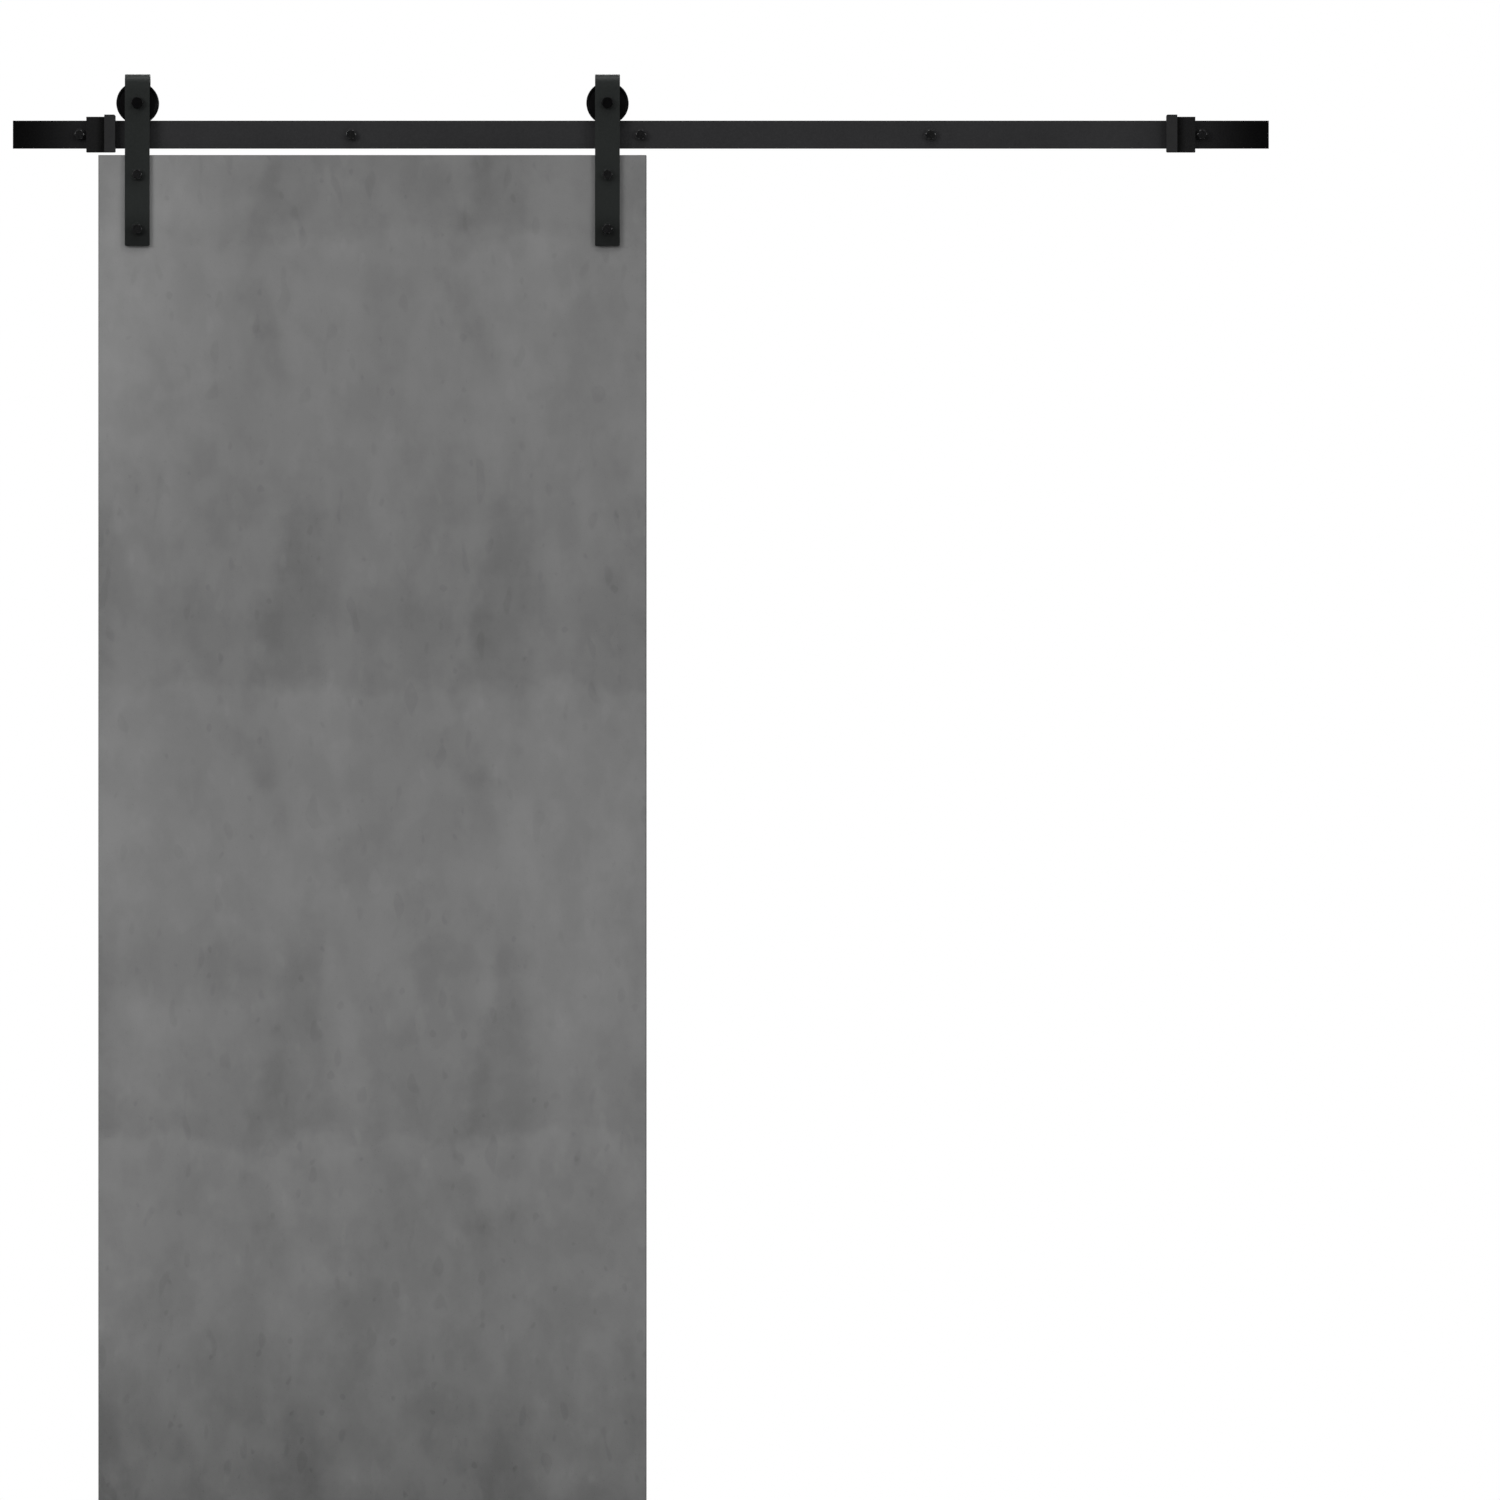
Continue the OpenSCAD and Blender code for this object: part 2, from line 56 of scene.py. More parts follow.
# Base colours, linear
FILM_GREY = (0.1640, 0.1645, 0.1640)
BANDING_GREY = (0.070, 0.0705, 0.070)
RAIL_BLACK = (0.0245, 0.0245, 0.0256)
STRAP_BLACK = (0.0143, 0.0161, 0.0154)
CLAMP_BLACK = (0.0060, 0.0060, 0.0062)
RUBBER_BLACK = (0.0165, 0.0165, 0.0170)
OXIDE_BLACK = (0.003, 0.003, 0.0033)
AXLE_BLACK = (0.0010, 0.0010, 0.0011)
WHEEL_BLACK = (0.0020, 0.0020, 0.0022)
CAGE_BROWN = (0.10, 0.09, 0.07)
PINE = (0.58, 0.40, 0.22)
KRAFT_BROWN = (0.48, 0.32, 0.16)
ZINC = (0.52, 0.53, 0.55)
RING_STEEL = (0.62, 0.63, 0.64)
BALL_STEEL = (0.66, 0.67, 0.68)
SHIELD_STEEL = (0.45, 0.46, 0.48)
FLOOR_WHITE = (0.86, 0.86, 0.86)


# ---- Node trees ----

NOISE_LOW, NOISE_HIGH = 0.25, 0.75   # between which the noise texture mostly stays


class Look:
    """A material with patterns that are fixed to the object, with their sizes in metres."""

    def __init__(self, name, roughness=0.5, metallic=0.0, specular=0.5):
        self.material = bpy.data.materials.new(name)
        self.material.use_nodes = True
        self.nodes = self.material.node_tree.nodes
        self.links = self.material.node_tree.links
        self.shader = self.nodes["Principled BSDF"]
        self.shader.inputs["Roughness"].default_value = roughness
        self.shader.inputs["Metallic"].default_value = metallic
        self.shader.inputs["Specular IOR Level"].default_value = specular
        self.place = self.add("ShaderNodeTexCoord").outputs["Object"]

    def add(self, kind, **settings):
        node = self.nodes.new(kind)
        for key, value in settings.items():
            setattr(node, key, value)
        return node

    def feed(self, socket, value):
        """Links a pattern to a socket, or sets it to a constant."""
        if isinstance(value, bpy.types.NodeSocket):
            self.links.new(value, socket)
        else:
            socket.default_value = value

    def math(self, operation, *values):
        node = self.add("ShaderNodeMath", operation=operation)
        for socket, value in zip(node.inputs, values):
            self.feed(socket, value)
        return node.outputs[0]

    def vector_math(self, operation, first, second):
        node = self.add("ShaderNodeVectorMath", operation=operation)
        self.feed(node.inputs[0], first)
        self.feed(node.inputs["Scale" if operation == "SCALE" else 1], second)
        return node.outputs[0]

    def length(self, vector):
        node = self.add("ShaderNodeVectorMath", operation="LENGTH")
        self.feed(node.inputs[0], vector)
        return node.outputs["Value"]

    def axis(self, letter, vector=None):
        """One coordinate of a vector, or of the place on the object."""
        node = self.add("ShaderNodeSeparateXYZ")
        self.feed(node.inputs[0], vector or self.place)
        return node.outputs[letter]

    def vector(self, x, y, z):
        node = self.add("ShaderNodeCombineXYZ")
        for socket, value in zip(node.inputs, (x, y, z)):
            self.feed(socket, value)
        return node.outputs[0]

    def noise_over(self, vector, w, detail, roughness=0.5):
        """Smooth noise round zero, about -1 to 1, with features about one unit in size."""
        node = self.add("ShaderNodeTexNoise", noise_dimensions="4D")
        self.feed(node.inputs["Vector"], vector)
        self.feed(node.inputs["W"], w)
        self.feed(node.inputs["Scale"], 1.0)
        self.feed(node.inputs["Detail"], detail)
        self.feed(node.inputs["Roughness"], roughness)
        return self.span(node.outputs[0], NOISE_LOW, NOISE_HIGH, -1.0, 1.0, clamp=False)

    def noise(self, size, stretch=(1, 1, 1), detail=2.0, roughness=0.5, seed=0.0, place=None):
        """Smooth noise with features about this size, stretched along each axis."""
        scale = tuple(1 / (size * s) for s in stretch)
        return self.noise_over(self.vector_math("MULTIPLY", place or self.place, scale), seed,
                               detail, roughness)

    def span(self, value, from_low, from_high, to_low, to_high, smooth=False, clamp=True):
        """Maps one range to another."""
        node = self.add("ShaderNodeMapRange", clamp=clamp)
        if smooth:
            node.interpolation_type = "SMOOTHSTEP"
        for socket, v in zip(node.inputs, (value, from_low, from_high, to_low, to_high)):
            self.feed(socket, v)
        return node.outputs[0]

    def total(self, base, *layers):
        """base plus each layer's pattern times its weight."""
        result = base
        for pattern, weight in layers:
            node = self.add("ShaderNodeMath", operation="MULTIPLY_ADD")
            for socket, value in zip(node.inputs, (pattern, weight, result)):
                self.feed(socket, value)
            result = node.outputs[0]
        return result

    def product(self, first, *others):
        for other in others:
            first = self.math("MULTIPLY", first, other)
        return first

    def colour(self, base, tone):
        """Base colour with a pattern that lightens or darkens it."""
        self.feed(self.shader.inputs["Base Color"], self.vector_math("SCALE", base, tone))

    def roughness(self, pattern):
        self.feed(self.shader.inputs["Roughness"], pattern)

    def bump(self, *layers):
        """Relief from patterns, each with its height in metres."""
        node = self.add("ShaderNodeBump")
        self.feed(node.inputs["Strength"], 1.0)
        self.feed(node.inputs["Distance"], 1.0)
        self.feed(node.inputs["Height"], self.total(0.0, *layers))
        self.links.new(node.outputs[0], self.shader.inputs["Normal"])


# ---- The slab's concrete film ----

PRINT_W = 0.3285   # the film's concrete print repeats at this width
PRINT_H = 0.709    # and at this height
WEDGE_X = -0.545   # middle of one of its dark wedges
WEDGE_Z = -0.718
PATCH_X = -0.607   # and of one of its smaller dark patches
PATCH_Z = -0.270
SHEET_Z = -0.177   # top of one repeat of the print, where its tone starts again
FALL_FROM = 0.35   # shares of a repeat's height between which it darkens
FALL_TO = 0.95
FALL_BACK = 0.955  # and from which its tone goes back
COLUMN_X = -0.461  # one of its lighter upright lines
FOOT_SHADE_LOW = 0.11    # painted shade: the slab is darkest up to this height over its foot
FOOT_SHADE_HIGH = 0.76   # and is free of the painted shade from this one
STROKE_EDGE = 0.25 # by which the noise grows from a stroke's border to its full tone
FIELD_EDGE = 0.5   # share of an oval field's size over which it fades, inwards and outwards
# Fields that are lighter or darker than the print: middle x and z, half width and height, change
FIELDS = (
    # The first field is a painted highlight on the slab's upper left.
    (-0.855, -0.12, 0.17, 0.40, 0.150),
    (-0.090, -1.25, 0.11, 0.30, 0.065),
    (-0.805, -1.03, 0.08, 0.16, 0.055),
    (-0.800, -1.43, 0.10, 0.09, 0.055),
    (-0.320, -1.62, 0.17, 0.17, -0.050),
    (-0.720, -1.31, 0.16, 0.05, -0.055),
    (-0.680, -0.05, 0.20, 0.10, 0.085),
    (-0.550, -1.48, 0.45, 0.05, 0.035),
    (-0.830, -2.09, 0.12, 0.10, -0.080),
)


def print_noise(look, size, detail, seed, stretch=1.0):
    """Noise that repeats with the film's print: a walk round two circles in four dimensions."""
    turns = []
    for letter, period, length in (("X", PRINT_W, size), ("Z", PRINT_H, size * stretch)):
        angle = look.math("MULTIPLY", look.axis(letter), TURN / period)
        radius = period / (TURN * length)
        turns += [look.product(look.math(f, angle), radius) for f in ("COSINE", "SINE")]
    centre = (seed, 2 * seed, 3 * seed)
    vector = look.vector_math("ADD", look.vector(*turns[:3]), centre)
    return look.noise_over(vector, turns[3], detail)


def from_repeat(look, place, centre, period):
    """Signed distance from the nearest of the places that repeat at this period."""
    return look.math("WRAP", look.math("SUBTRACT", place, centre), period / 2, -period / 2)


def within(look, distance, soft):
    """1 where the distance is well below zero and 0 where it is well above."""
    return look.span(distance, -soft, soft, 1.0, 0.0, smooth=True)


def print_wedge(look, x, z, foot_w, top_w, height, soft, lean):
    """A soft dark patch of the print, from foot_w to top_w wide: 1 in its middle and 0 outside."""
    ragged = look.total(0.0, (look.noise(0.09, seed=4.0), 0.020), (look.noise(0.025, seed=6.0), 0.010))
    across = from_repeat(look, look.math("ADD", look.axis("X"), ragged), x, PRINT_W)
    up = from_repeat(look, look.math("SUBTRACT", look.axis("Z"), ragged), z, PRINT_H)
    off_middle = look.math("ABSOLUTE", look.total(across, (up, lean)))
    half_w = look.span(up, -height / 2, height / 2, foot_w / 2, top_w / 2)
    in_sides = within(look, look.math("SUBTRACT", off_middle, half_w), soft)
    in_ends = within(look, look.math("SUBTRACT", look.math("ABSOLUTE", up), height / 2), soft)
    return look.product(in_sides, in_ends)


def print_fall(look):
    """The print darkens down each repeat, 0 to 1, and starts again along a ragged line."""
    ragged = look.total(look.axis("Z"), (look.noise(0.10, detail=3.0, seed=3.0), 0.028),
                        (look.noise(0.025, detail=2.0, seed=7.0), 0.008))
    down = look.product(look.math("SUBTRACT", SHEET_Z, ragged), 1 / PRINT_H)
    share = look.math("FRACT", down)
    fall = look.span(share, FALL_FROM, FALL_TO, 0.0, 1.0, smooth=True)
    return look.product(fall, look.span(share, FALL_BACK, 1.0, 1.0, 0.0, smooth=True))


def print_column(look):
    """The print is lighter along one upright line of each repeat, 1, and darker between, -1."""
    turn = look.product(look.math("SUBTRACT", look.axis("X"), COLUMN_X), TURN / PRINT_W)
    return look.math("COSINE", turn)


def field(look, x, z, half_w, half_h):
    """A soft-edged oval, 1 inside and 0 outside, with a ragged border."""
    right = look.product(look.math("SUBTRACT", look.axis("X"), x), 1 / half_w)
    up = look.product(look.math("SUBTRACT", look.axis("Z"), z), 1 / half_h)
    sway = look.noise(0.09, seed=12.0)
    ragged = look.total(look.length(look.vector(right, 0.0, up)), (sway, 0.12))
    return look.span(ragged, 1.0 - FIELD_EDGE, 1.0 + FIELD_EDGE, 1.0, 0.0, smooth=True)


def strokes(look, width, length, seed, least=0.80):
    """Sparse small upright strokes, 0 to 1, where the noise passes its least value."""
    pattern = look.noise(width, stretch=(1, 1, length / width), detail=0.0, seed=seed)
    return look.span(pattern, least, least + STROKE_EDGE, 0.0, 1.0, smooth=True)


def patches(look, pattern, edge):
    """Turns smooth noise into patches with fairly crisp borders, -1 to 1."""
    return look.span(pattern, -edge, edge, -1.0, 1.0, smooth=True)


# Each of the four functions below returns (pattern, weight) pairs for the film's tone.

def print_layers(look, mottle):
    """Soft tones that repeat with the print."""
    broad = print_noise(look, size=0.12, detail=2.0, seed=3.1, stretch=1.5)
    return [(print_fall(look), -0.120), (print_column(look), 0.020), (broad, 0.044), (mottle, 0.036)]


def wedge_layers(look, foot_shade):
    """The print's dark shapes. The wedges are weaker at the slab's foot, which is darkened by painted
    shade.
    """
    wedge = print_wedge(look, WEDGE_X, WEDGE_Z, foot_w=0.112, top_w=0.045, height=0.285,
                        soft=0.018, lean=-0.07)
    patch = print_wedge(look, PATCH_X, PATCH_Z, foot_w=0.045, top_w=0.060, height=0.095,
                        soft=0.014, lean=0.35)
    return [(look.product(wedge, look.span(foot_shade, 0.0, 1.0, 1.0, 0.7)), -0.088), (patch, -0.085)]


def slab_layers(look, foot_shade):
    """Changes that run once over the whole slab: painted shade towards its foot, painted light towards its
    left side, and soft fields, the first of them a painted highlight.
    """
    across = look.axis("X")
    middle_x = (slab_low.x + slab_high.x) / 2
    off_middle = look.math("ABSOLUTE", look.math("SUBTRACT", across, middle_x))
    sides = look.span(off_middle, 0.05, 0.42, -1.0, 1.0, smooth=True)
    # Painted light: the slab is lighter towards its left side.
    painted_left_light = look.span(across, slab_low.x, slab_high.x, 1.0, -1.0)
    cloud = look.noise(0.30, stretch=(1, 1, 1.4), detail=3.0, seed=1.0)
    fields = [(field(look, *place), change) for *place, change in FIELDS]
    return [(foot_shade, -0.28), (sides, 0.014), (painted_left_light, 0.018), (cloud, 0.045)] + fields


def mark_layers(look):
    """Blotches, leaning sweeps and small strokes that don't repeat."""
    height = look.axis("Z")
    leaning = look.vector(look.total(look.axis("X"), (height, 0.22)), 0.0, height)
    blotch = patches(look, look.noise(0.040, stretch=(1, 1, 1.4), detail=3.0, seed=2.5), edge=0.40)
    sweep = look.noise(0.07, stretch=(1, 1, 4.0), detail=2.0, seed=11.0, place=leaning)
    fine = look.noise(0.011, stretch=(1, 1, 1.3), detail=4.0, roughness=0.65, seed=14.0)
    return [
        (blotch, 0.030),
        (sweep, 0.030),
        (fine, 0.016),
        (strokes(look, width=0.024, length=0.055, seed=2.0), 0.045),
        (strokes(look, width=0.022, length=0.048, seed=5.0), -0.070),
        (strokes(look, width=0.016, length=0.022, seed=9.0, least=0.95), -0.085),
    ]


def concrete_film(name):
    """Concrete-look film on the skins: a printed, faintly trowelled grey, with painted shade towards the
    slab's foot and painted light towards its upper left.
    """
    look = Look(name, specular=0.25)
    # Painted shade: the slab darkens towards its foot, as the light falls off downwards.
    foot_shade = look.span(look.axis("Z"), slab_low.z + FOOT_SHADE_LOW, slab_low.z + FOOT_SHADE_HIGH, 1.0, 0.0, smooth=True)
    mottle = patches(look, print_noise(look, size=0.070, detail=3.0, seed=8.7, stretch=1.6), edge=0.35)
    grain = look.noise(0.0028, detail=3.0, roughness=0.7)
    speckle = look.noise(0.0010, detail=2.0, roughness=0.7, seed=15.0)
    pores = look.span(look.noise(0.0024, detail=0.0, seed=9.0), 0.90, 1.1, 0.0, 1.0, smooth=True)
    trowel = look.noise(0.05, stretch=(3.0, 1, 1), detail=3.0, seed=6.0)
    layers = print_layers(look, mottle) + wedge_layers(look, foot_shade) + slab_layers(look, foot_shade)
    layers += mark_layers(look) + [(grain, 0.018), (speckle, 0.045), (pores, -0.10)]
    look.colour(FILM_GREY, look.total(1.0, *layers))
    look.roughness(look.total(0.62, (mottle, 0.03), (grain, 0.05)))
    look.bump((grain, 0.00003), (speckle, 0.00002), (trowel, 0.00010), (pores, -0.00012))
    return look.material


# ---- The other materials ----

COAT_ROUGHNESS = 0.42        # of all the powder coats
WHEEL_RING = 0.00045         # between two rings that turning left
YEAR_RING = 0.007            # between two years of the wood
GRAIN_STRETCH = 14           # how many times longer the wood's grain is than wide


def edge_banding(name):
    """Grey plastic banding, a shade darker than the film, with lengthwise pressing lines."""
    look = Look(name, specular=0.35)
    lines = look.noise(0.0008, stretch=(1, 1, 60), detail=1.0)
    cloud = look.noise(0.15, detail=3.0)
    look.colour(BANDING_GREY, look.total(1.0, (lines, 0.03), (cloud, 0.05)))
    look.roughness(look.total(0.55, (lines, 0.05), (cloud, 0.04)))
    look.bump((lines, 0.00001), (look.noise(0.002, detail=2.0), 0.00002))
    return look.material


def powder_coat(name, colour, painted_fades, specular=0.15):
    """Fine-textured black powder coat. Each fade, of painted shade or painted highlight, has a way, two
    places along it and the tone at each.

    The ways are "out", from the middle of the rail to either end, and "up".
    """
    look = Look(name, specular=specular)
    peel = look.noise(0.0011, detail=2.0, roughness=0.6)
    cloud = look.noise(0.12, detail=2.0, seed=3.0)
    speck = look.noise(0.0035, detail=2.0, seed=8.0)
    tone = look.total(1.0, (cloud, 0.06), (speck, 0.07), (peel, 0.12))
    ways = {"out": look.math("ABSOLUTE", look.axis("X")), "up": look.axis("Z")}
    for way, *ramp in painted_fades:
        # Painted shade and painted highlights, along each way.
        tone = look.product(tone, look.span(ways[way], *ramp, smooth=True))
    look.colour(colour, tone)
    look.roughness(look.total(COAT_ROUGHNESS, (cloud, 0.03), (speck, 0.03), (peel, 0.06)))
    look.bump((peel, 0.00006), (speck, 0.00004))
    return look.material


def black_oxide(name, colour, rough, specular):
    """Black-coated fasteners."""
    look = Look(name, specular=specular)
    cloud = look.noise(0.006, detail=3.0)
    fine = look.noise(0.0006, detail=2.0, seed=2.0)
    look.colour(colour, look.total(1.0, (cloud, 0.20), (fine, 0.10)))
    look.roughness(look.total(rough, (cloud, 0.06), (fine, 0.04)))
    look.bump((fine, 0.00001), (cloud, 0.00002))
    return look.material


def rubber(name):
    """Matt black rubber with a little dust."""
    look = Look(name, specular=0.12)
    dust = look.noise(0.012, detail=4.0)
    fine = look.noise(0.0007, detail=2.0, seed=1.0)
    look.colour(RUBBER_BLACK, look.total(1.0, (dust, 0.12), (fine, 0.05)))
    look.roughness(look.total(0.78, (dust, 0.06), (fine, 0.04)))
    look.bump((fine, 0.00003), (dust, 0.00005))
    return look.material


def wheel_nylon(name, centre):
    """Turned black nylon: fine rings round the axle."""
    look = Look(name, specular=0.10)
    offset = look.vector_math("SUBTRACT", look.place, tuple(centre))
    radius = look.length(look.vector(look.axis("X", offset), 0.0, look.axis("Z", offset)))
    rings = look.math("SINE", look.math("MULTIPLY", radius, TURN / WHEEL_RING))
    cloud = look.noise(0.01, detail=3.0)
    look.colour(WHEEL_BLACK, look.total(1.0, (rings, 0.06), (cloud, 0.15)))
    look.roughness(look.total(0.38, (rings, 0.03), (cloud, 0.06)))
    look.bump((rings, 0.000006), (cloud, 0.00002))
    return look.material


def softwood(name, along):
    """Pine with its grain along X or Z."""
    look = Look(name, specular=0.2)
    stretch = (GRAIN_STRETCH, 1, 1) if along == "X" else (1, 1, GRAIN_STRETCH)
    fibres = look.noise(0.0016, stretch=stretch, detail=3.0)
    bend = look.noise(0.08, stretch=stretch, detail=1.0, seed=5.0)
    across = look.axis("Z" if along == "X" else "X")
    years = look.math("SINE", look.product(look.total(across, (bend, 0.012)), TURN / YEAR_RING))
    look.colour(PINE, look.total(0.95, (years, 0.12), (fibres, 0.08)))
    look.roughness(look.total(0.68, (fibres, 0.06)))
    look.bump((fibres, 0.00006), (years, 0.00004))
    return look.material


def kraft_paper(name):
    """Brown paper of the honeycomb core."""
    look = Look(name, specular=0.15)
    fibres = look.noise(0.004, stretch=(1, 1, 3), detail=4.0, roughness=0.7)
    cloud = look.noise(0.05, detail=2.0, seed=4.0)
    look.colour(KRAFT_BROWN, look.total(1.0, (fibres, 0.09), (cloud, 0.06)))
    look.roughness(look.total(0.85, (fibres, 0.05)))
    look.bump((fibres, 0.00005))
    return look.material


def steel(name, colour, rough, marks=1):
    """Bright steel with fine machining marks, this many times as long as they are wide."""
    look = Look(name, metallic=1.0)
    lines = look.noise(0.0005, stretch=(1, marks, 1), detail=2.0)
    cloud = look.noise(0.006, detail=3.0, seed=2.0)
    look.colour(colour, look.total(1.0, (lines, 0.05), (cloud, 0.07)))
    look.roughness(look.total(rough, (lines, 0.04), (cloud, 0.05)))
    look.bump((lines, 0.000004))
    return look.material


def cage_nylon(name):
    """Moulded nylon of the ball cages."""
    look = Look(name, specular=0.3)
    cloud = look.noise(0.003, detail=3.0)
    look.colour(CAGE_BROWN, look.total(1.0, (cloud, 0.12)))
    look.roughness(look.total(0.5, (cloud, 0.07)))
    look.bump((cloud, 0.00002))
    return look.material


# ---- Finishes and softened edges of the CAD nodes ----

EDGE_ANGLE = math.radians(25)
FLAT_ANGLE = math.radians(0.5)
WELD = 1e-5
PLATE_EDGE = 0.0003          # radius of most softened edges
WOOD_EDGE = 0.0005           # of the wood and the core
SPACER_EDGE = 0.0005
RAIL_EDGE = 0.0010
STRAP_EDGE = 0.0007
CLAMP_EDGE = 0.0006
BUMPER_EDGE = 0.0008
WHEEL_EDGE = 0.0004
RACE_EDGE = 0.0002
THIN_EDGE = 0.0001
FULL_WEIGHT = 100            # by which large faces rule the shading
SPACERS = range(1, 6)        # numbers of the rail's spacers and of the bolts in them

# Painted shade and painted highlights on the coats, in the form that powder_coat takes
# Painted shade: the rail darkens towards its ends.
RAIL_END_SHADE = [("out", 0.76, rail_end, 1.0, 0.03)]
# Painted shadow: each clamp darkens next to its bumper.
CLAMP_BUMPER_SHADOW = [("out", clamp_inner + 0.003, clamp_inner + 0.015, 0.0, 1.0)]
STRAP_SHADE_AND_HIGHLIGHT = [
    # Painted shade: the strap darkens towards its lower end, round the lower bolt.
    ("up", strap_low.z + 0.0112, strap_low.z + 0.0612, 0.56, 1.0),
    # Painted highlight: the strap is lighter along its top bend.
    ("up", strap_high.z - 0.02705, strap_high.z - 0.01105, 1.0, 1.2),
]


def smooth_group():
    """Geometry nodes that shade a mesh smooth, for a modifier that leaves the mesh as it is."""
    group = bpy.data.node_groups.new("shade_smooth", "GeometryNodeTree")
    for in_out in ("INPUT", "OUTPUT"):
        group.interface.new_socket("Geometry", in_out=in_out, socket_type="NodeSocketGeometry")
    start = group.nodes.new("NodeGroupInput")
    smooth = group.nodes.new("GeometryNodeSetShadeSmooth")
    end = group.nodes.new("NodeGroupOutput")
    group.links.new(start.outputs[0], smooth.inputs[0])
    group.links.new(smooth.outputs[0], end.inputs[0])
    return group


SMOOTH = smooth_group()


def add_bevel(piece, radius, segments, chosen_by):
    """Rounds edges with faces that leave the shading of the large ones flat."""
    bevel = piece.modifiers.new("bevel", "BEVEL")
    bevel.width = radius
    bevel.segments = segments
    bevel.limit_method = chosen_by
    bevel.angle_limit = EDGE_ANGLE
    bevel.face_strength_mode = "FSTR_AFFECTED"


def add_normals(piece, bevelled):
    """Shades by the large faces. A piece with a bevel tells them by the strength it gave them."""
    normals = piece.modifiers.new("normals", "WEIGHTED_NORMAL")
    normals.weight = FULL_WEIGHT
    normals.use_face_influence = bevelled


def soften(piece, radius, segments):
    """Rounds the sharp edges, and keeps large faces flat in the shading."""
    weld = piece.modifiers.new("weld", "WELD")
    weld.merge_threshold = WELD
    whole = piece.modifiers.new("whole_faces", "DECIMATE")
    whole.decimate_type = "DISSOLVE"
    whole.angle_limit = FLAT_ANGLE
    smooth = piece.modifiers.new("smooth", "NODES")
    smooth.node_group = SMOOTH
    if radius:
        add_bevel(piece, radius, segments, chosen_by="ANGLE")
    add_normals(piece, bevelled=bool(radius))


def finish_nodes(material, *names, edge, segments=2):
    """Gives CAD nodes their material, and their edges this radius."""
    for name in names:
        for slot in nodes[name].material_slots:
            slot.material = material
        soften(nodes[name], edge, segments)


def both(part):
    return [f"{side}_{part}" for side in SIDES]


def finish_slab():
    film = concrete_film("look_concrete_film")
    banding = edge_banding("look_edge_banding")
    stile_wood = softwood("look_stile_wood", along="Z")
    rail_wood = softwood("look_rail_wood", along="X")
    finish_nodes(film, "front_skin", "back_skin", edge=PLATE_EDGE)
    finish_nodes(banding, "top_edge_band", "bottom_edge_band", *both("edge_band"), edge=PLATE_EDGE)
    finish_nodes(stile_wood, *both("stile"), edge=WOOD_EDGE)
    finish_nodes(rail_wood, "top_frame_rail", "bottom_frame_rail", edge=WOOD_EDGE)
    finish_nodes(kraft_paper("look_kraft_paper"), "honeycomb_core", edge=WOOD_EDGE)


def finish_hardware():
    rail_coat = powder_coat("look_rail_coat", RAIL_BLACK, RAIL_END_SHADE, specular=0.06)
    clamp_coat = powder_coat("look_clamp_coat", CLAMP_BLACK, CLAMP_BUMPER_SHADOW)
    strap_coat = powder_coat("look_strap_coat", STRAP_BLACK, STRAP_SHADE_AND_HIGHLIGHT)
    finish_nodes(rail_coat, "rail", edge=RAIL_EDGE, segments=3)
    finish_nodes(rail_coat, "rail_washers", edge=PLATE_EDGE)
    finish_nodes(clamp_coat, *both("stop_clamp"), edge=CLAMP_EDGE, segments=3)
    finish_nodes(rubber("look_bumper_rubber"), *both("stop_bumper"), edge=BUMPER_EDGE, segments=3)
    finish_nodes(strap_coat, *both("strap"), edge=STRAP_EDGE, segments=3)
    finish_nodes(strap_coat, "hanger_washers", edge=PLATE_EDGE)
    finish_nodes(strap_coat, *[f"rail_spacer_{number}" for number in SPACERS], edge=SPACER_EDGE)


def finish_fasteners():
    zinc = steel("look_zinc", ZINC, rough=0.38, marks=8)
    finish_nodes(fastener, "rail_bolts", "stop_screws", "hanger_bolts", *both("axle_nut"), edge=PLATE_EDGE)
    finish_nodes(axle_black, *both("axle"), edge=PLATE_EDGE)
    finish_nodes(zinc, "hanger_nuts", *both("axle_rings"), edge=PLATE_EDGE)


def finish_bearings():
    races = steel("look_bearing_steel", RING_STEEL, rough=0.18)
    balls = steel("look_ball_steel", BALL_STEEL, rough=0.08)
    shields = steel("look_shield_steel", SHIELD_STEEL, rough=0.30)
    finish_nodes(races, *both("bearing_inner"), *both("bearing_outer"), edge=RACE_EDGE)
    finish_nodes(balls, *both("bearing_balls"), edge=0.0)
    finish_nodes(shields, *both("bearing_shields"), edge=THIN_EDGE)
    finish_nodes(cage_nylon("look_cage_nylon"), *both("bearing_cage"), edge=THIN_EDGE)


def finish_wheels():
    for side in SIDES:
        low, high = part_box(f"{side}_wheel")
        nylon = wheel_nylon(f"look_{side}_wheel_nylon", (low + high) / 2)
        finish_nodes(nylon, f"{side}_wheel", edge=WHEEL_EDGE)


fastener = black_oxide("look_black_oxide", OXIDE_BLACK, rough=0.28, specular=0.4)
axle_black = black_oxide("look_axle_black", AXLE_BLACK, rough=0.40, specular=0.08)
finish_slab()
finish_hardware()
finish_fasteners()
finish_bearings()
finish_wheels()


# ---- Bolts with their threads, in place of the plain ones ----

COLUMNS = 48                 # vertices round a bolt
RINGS_PER_TURN = 12
HEAD_CHAMFER = math.tan(math.radians(30))
HEAD_FLAT = 0.96             # share of the flats' width left at the end of the head
HEAD_MARGIN = 0.6            # share of the end's radius inside the first ring of vertices
LAG_START = -0.001           # y where the lag bolts' thread starts, just in front of the wall
LAG_THREAD = dict(pitch=0.0035, crest_r=0.004, root_r=0.0029, tip_r=0.0003, point=0.006,
                  crest=0.10, flank=0.25)
NUT_LEAD = 0.002             # the axle's thread starts this far before its nut
M10_THREAD = dict(pitch=0.0015, crest_r=0.005, root_r=0.0041, tip_r=0.0041, point=0.0009,
                  crest=0.125, flank=0.625)


